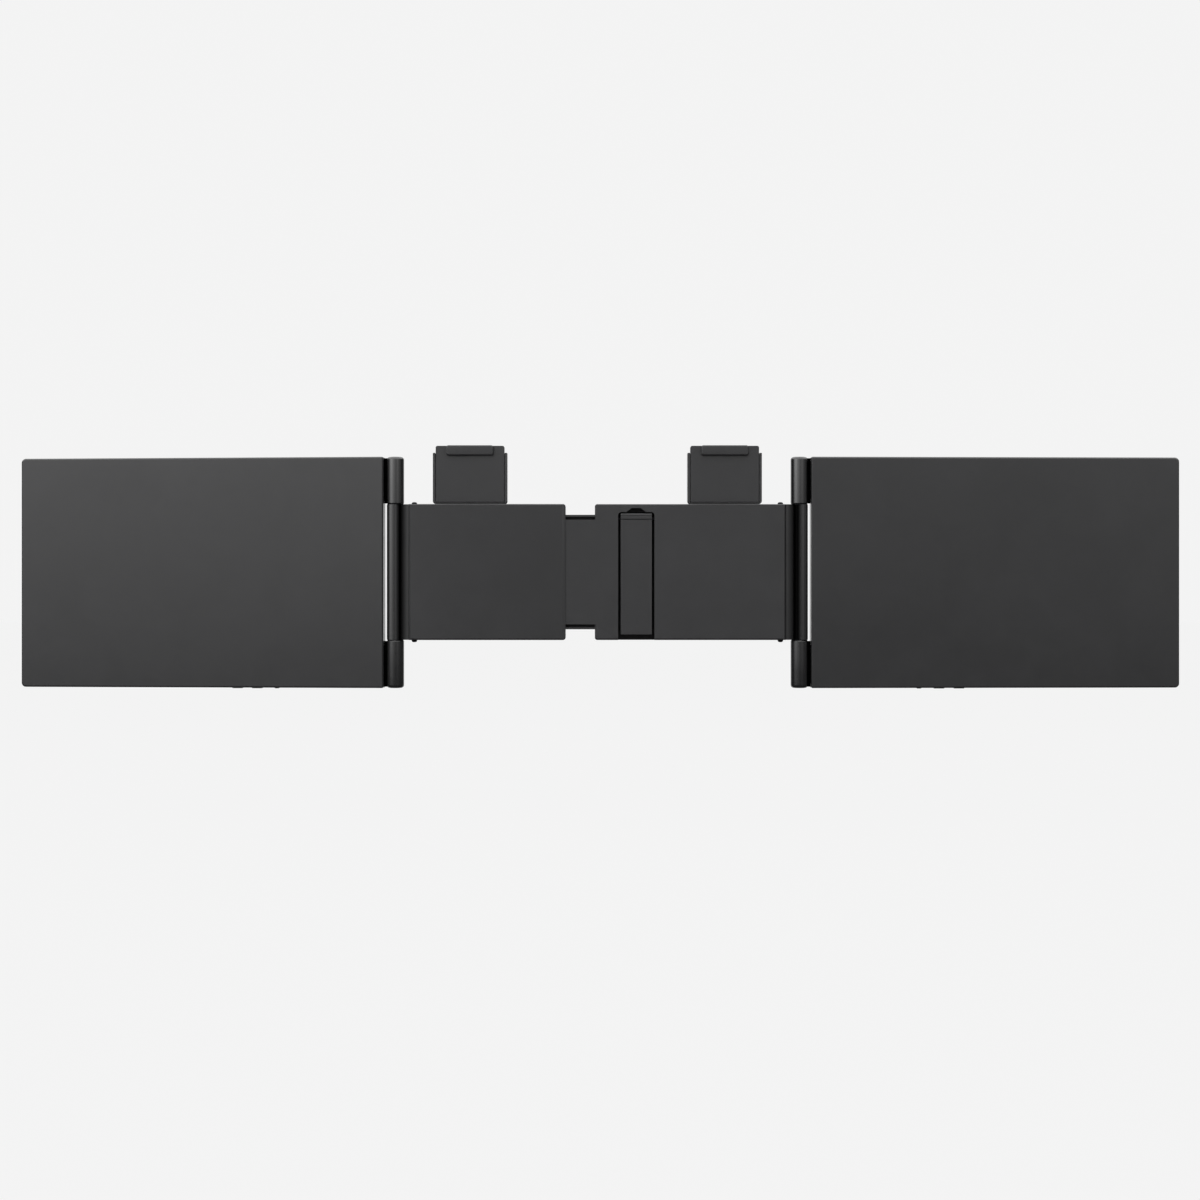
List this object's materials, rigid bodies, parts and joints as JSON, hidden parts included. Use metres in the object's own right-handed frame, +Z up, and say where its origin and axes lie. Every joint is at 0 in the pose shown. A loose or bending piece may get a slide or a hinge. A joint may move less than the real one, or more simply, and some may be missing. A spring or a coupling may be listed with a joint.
{
  "type": "laptop screen extender",
  "caption": "Pair of portable displays on a telescoping centre bracket that clips on a laptop's lid, with double hinges and a fold-out leg.",
  "frame": {"origin": "centre of the double hinge's span, at mid-height of the bracket, on the face of the pads that rest on the laptop's lid", "axes": "+X along the bracket towards the arm with the kickstand, +Y forward out of the pads, where the displays face, +Z up"},
  "size_m": [0.7543, 0.0313, 0.157],
  "materials": {
    "shell_plastic": "fine matte dark grey moulded plastic",
    "screen_metal": "matte dark grey coated shell",
    "hinge_metal": "satin dark grey coated barrel",
    "bezel_plastic": "black front frame",
    "display_glass": "dark glossy display",
    "soft_pad": "black soft pad",
    "steel": "plain steel",
    "dark_steel": "blackened steel",
    "board": "circuit board",
    "acetal": "low-friction strip"
  },
  "bodies": {
    "right_arm": {"right_rear_shell": "shell_plastic", "right_front_cover": "shell_plastic", "right_lid_pad": "soft_pad", "right_cover_screws": "dark_steel", "right_link_pin": "dark_steel", "right_clip_guide": "shell_plastic", "right_clip_spring": "steel", "tongue_cover": "shell_plastic", "slide_stop_screw": "dark_steel", "kickstand_pin": "steel", "kickstand_leaf_spring": "steel"},
    "left_arm": {"left_rear_shell": "shell_plastic", "left_front_cover": "shell_plastic", "left_lid_pad": "soft_pad", "left_cover_screws": "dark_steel", "left_slide_liners": "acetal", "left_link_pin": "dark_steel", "left_clip_guide": "shell_plastic", "left_clip_spring": "steel"},
    "right_link": {"right_hinge_link": "hinge_metal", "right_hinge_shaft": "steel", "right_friction_washers": "steel"},
    "right_screen": {"right_rear_cover": "screen_metal", "right_bezel": "bezel_plastic", "right_display_panel": "display_glass", "right_driver_board": "board", "right_usb_ports": "steel", "right_hinge_bracket": "steel", "right_bracket_screws": "steel", "right_upper_barrel": "hinge_metal", "right_lower_barrel": "hinge_metal"},
    "right_power_button": {"right_power_button": "shell_plastic"},
    "right_plus_button": {"right_plus_button": "shell_plastic"},
    "right_minus_button": {"right_minus_button": "shell_plastic"},
    "right_clip": {"right_clip_slider": "shell_plastic", "right_clip_tab": "shell_plastic", "right_clip_grip": "soft_pad"},
    "left_link": {"left_hinge_link": "hinge_metal", "left_hinge_shaft": "steel", "left_friction_washers": "steel"},
    "left_screen": {"left_rear_cover": "screen_metal", "left_bezel": "bezel_plastic", "left_display_panel": "display_glass", "left_driver_board": "board", "left_usb_ports": "steel", "left_hinge_bracket": "steel", "left_bracket_screws": "steel", "left_upper_barrel": "hinge_metal", "left_lower_barrel": "hinge_metal"},
    "left_power_button": {"left_power_button": "shell_plastic"},
    "left_plus_button": {"left_plus_button": "shell_plastic"},
    "left_minus_button": {"left_minus_button": "shell_plastic"},
    "left_clip": {"left_clip_slider": "shell_plastic", "left_clip_tab": "shell_plastic", "left_clip_grip": "soft_pad"},
    "kickstand": {"kickstand_leg": "shell_plastic"},
    "kickstand_extension": {"kickstand_extension": "dark_steel", "kickstand_foot": "soft_pad"}
  },
  "joints": [
    {"name": "arm_slide", "type": "slide", "parent": "right_arm", "child": "left_arm", "axis": [-1, 0, 0], "range_m": [-0.0185, 0.041]},
    {"name": "right_link_fold", "type": "hinge", "parent": "right_arm", "child": "right_link", "pos_m": [0.1183, -0.006, 0], "axis": [0, 0, 1], "range_deg": [0, 90]},
    {"name": "right_screen_swing", "type": "hinge", "parent": "right_link", "child": "right_screen", "pos_m": [0.1305, -0.006, 0], "axis": [0, 0, 1], "range_deg": [-91.8, 88.2]},
    {"name": "right_clip_lift", "type": "slide", "parent": "right_arm", "child": "right_clip", "axis": [0, 0, 1], "range_m": [0, 0.02], "stiffness_N_per_m": 200, "springref_m": -0.02, "deforming": ["right_clip_spring"]},
    {"name": "right_power_button_press", "type": "slide", "parent": "right_screen", "child": "right_power_button", "axis": [0, 0, 1], "range_m": [0, 0.0004], "stiffness_N_per_m": 1500, "springref_m": -0.0002},
    {"name": "right_plus_button_press", "type": "slide", "parent": "right_screen", "child": "right_plus_button", "axis": [0, 0, 1], "range_m": [0, 0.0004], "stiffness_N_per_m": 1500, "springref_m": -0.0002},
    {"name": "right_minus_button_press", "type": "slide", "parent": "right_screen", "child": "right_minus_button", "axis": [0, 0, 1], "range_m": [0, 0.0004], "stiffness_N_per_m": 1500, "springref_m": -0.0002},
    {"name": "left_link_fold", "type": "hinge", "parent": "left_arm", "child": "left_link", "pos_m": [-0.1183, -0.006, 0], "axis": [0, 0, 1], "range_deg": [-90, 0]},
    {"name": "left_screen_swing", "type": "hinge", "parent": "left_link", "child": "left_screen", "pos_m": [-0.1305, -0.006, 0], "axis": [0, 0, 1], "range_deg": [-85.4, 94.6]},
    {"name": "left_clip_lift", "type": "slide", "parent": "left_arm", "child": "left_clip", "axis": [0, 0, 1], "range_m": [0, 0.02], "stiffness_N_per_m": 200, "springref_m": -0.02, "deforming": ["left_clip_spring"]},
    {"name": "left_power_button_press", "type": "slide", "parent": "left_screen", "child": "left_power_button", "axis": [0, 0, 1], "range_m": [0, 0.0004], "stiffness_N_per_m": 1500, "springref_m": -0.0002},
    {"name": "left_plus_button_press", "type": "slide", "parent": "left_screen", "child": "left_plus_button", "axis": [0, 0, 1], "range_m": [0, 0.0004], "stiffness_N_per_m": 1500, "springref_m": -0.0002},
    {"name": "left_minus_button_press", "type": "slide", "parent": "left_screen", "child": "left_minus_button", "axis": [0, 0, 1], "range_m": [0, 0.0004], "stiffness_N_per_m": 1500, "springref_m": -0.0002},
    {"name": "kickstand_swing", "type": "hinge", "parent": "right_arm", "child": "kickstand", "pos_m": [0.02506, -0.0095, 0.0339], "axis": [-1, 0, 0], "range_deg": [0, 75]},
    {"name": "kickstand_extend", "type": "slide", "parent": "kickstand", "child": "kickstand_extension", "axis": [0, 0, -1], "range_m": [0, 0.05]}
  ]
}
